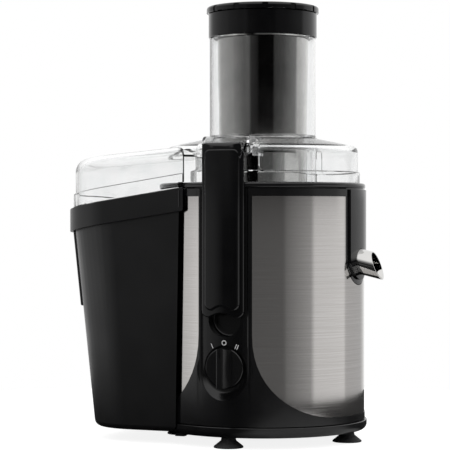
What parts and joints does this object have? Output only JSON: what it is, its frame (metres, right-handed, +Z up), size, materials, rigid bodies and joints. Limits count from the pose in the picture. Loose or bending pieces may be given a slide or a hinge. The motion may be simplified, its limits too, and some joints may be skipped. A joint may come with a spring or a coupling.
{
  "type": "centrifugal juicer",
  "caption": "Round motor base with steel side panels, clear lid with tall feed chute and pusher, short juice spout, pulp container at the side and two over-centre latch arms.",
  "frame": {"origin": "middle of the whole object's footprint, on the table under the feet", "axes": "+Z up; +X towards the juice spout, so the pulp container is at -X; -Y towards the user, where the speed knob is"},
  "size_m": [0.2784, 0.1994, 0.377],
  "materials": {
    "satin_black_plastic": "satin moulded plastic",
    "gloss_black_plastic": "smooth gloss moulded plastic",
    "brushed_steel": "fine vertical-lustre brushed sheet",
    "polished_steel": "polished sheet",
    "machined_steel": "plain machined or zinc plated",
    "laminated_steel": "varnished laminations",
    "copper": "enamelled copper",
    "brass": "plain pressed brass",
    "carbon": "matt carbon",
    "rubber": "matt rubber",
    "pale_plastic": "matt moulded plastic",
    "grey_plastic": "matt moulded plastic",
    "circuit_board": "lacquered board",
    "clear_plastic": "clear polished moulding"
  },
  "bodies": {
    "base": {"motor_housing": "satin_black_plastic", "bottom_cover": "satin_black_plastic", "juice_bowl": "gloss_black_plastic", "spout_side_panel": "brushed_steel", "bin_side_panel": "brushed_steel", "juice_spout": "polished_steel", "cover_screw_1": "machined_steel", "cover_screw_2": "machined_steel", "cover_screw_3": "machined_steel", "cover_screw_4": "machined_steel", "motor_bracket_lower": "machined_steel", "motor_bracket_upper": "machined_steel", "motor_bolt_1": "machined_steel", "motor_bolt_2": "machined_steel", "bearing_lower": "machined_steel", "bearing_upper": "machined_steel", "stator_core": "laminated_steel", "field_coil_left": "copper", "field_coil_right": "copper", "brush_holder_left": "brass", "brush_holder_right": "brass", "carbon_brush_left": "carbon", "carbon_brush_right": "carbon", "suction_foot_1": "rubber", "suction_foot_2": "rubber", "suction_foot_3": "rubber", "suction_foot_4": "rubber", "cord_gland": "rubber", "motor_mount_1": "rubber", "motor_mount_2": "rubber", "motor_mount_3": "rubber", "motor_mount_4": "rubber", "shaft_seal": "rubber", "rotary_switch": "pale_plastic", "interlock_switch": "pale_plastic", "control_board": "circuit_board"},
    "rotor": {"motor_shaft": "machined_steel", "rotor_core": "laminated_steel", "commutator": "copper", "cooling_fan": "pale_plastic", "drive_coupling": "grey_plastic", "basket_base": "satin_black_plastic", "filter_basket": "polished_steel", "grater_disc": "polished_steel"},
    "knob": {"speed_knob": "gloss_black_plastic", "switch_spindle": "machined_steel"},
    "lid": {"lid": "clear_plastic", "latch_pin_front": "machined_steel", "latch_pin_back": "machined_steel"},
    "pusher": {"pusher_sleeve": "polished_steel", "pusher_collar": "gloss_black_plastic", "pusher_cap": "gloss_black_plastic"},
    "front_latch": {"latch_front": "gloss_black_plastic"},
    "back_latch": {"latch_back": "gloss_black_plastic"},
    "bin": {"pulp_container": "satin_black_plastic"}
  },
  "joints": [
    {"name": "rotor_spin", "type": "hinge", "parent": "base", "child": "rotor", "pos_m": [0.02925, -0.0013, 0.1], "axis": [0, 0, 1], "continuous": true},
    {"name": "knob_turn", "type": "hinge", "parent": "base", "child": "knob", "pos_m": [0.02925, -0.0893, 0.0672], "axis": [0, -1, 0], "range_deg": [-30, 30]},
    {"name": "lid_lift", "type": "slide", "parent": "base", "child": "lid", "axis": [0, 0, 1], "range_m": [0, 0.12]},
    {"name": "pusher_lift", "type": "slide", "parent": "lid", "child": "pusher", "axis": [0, 0, 1], "range_m": [0, 0.165]},
    {"name": "front_latch_swing", "type": "hinge", "parent": "lid", "child": "front_latch", "pos_m": [0.02925, -0.0673, 0.2538], "axis": [-1, 0, 0], "range_deg": [0, 110]},
    {"name": "back_latch_swing", "type": "hinge", "parent": "lid", "child": "back_latch", "pos_m": [0.02925, 0.0647, 0.2538], "axis": [1, 0, 0], "range_deg": [0, 110]},
    {"name": "bin_slide", "type": "slide", "parent": "base", "child": "bin", "axis": [-0.9889, 0, -0.1483], "range_m": [0, 0.065]}
  ]
}
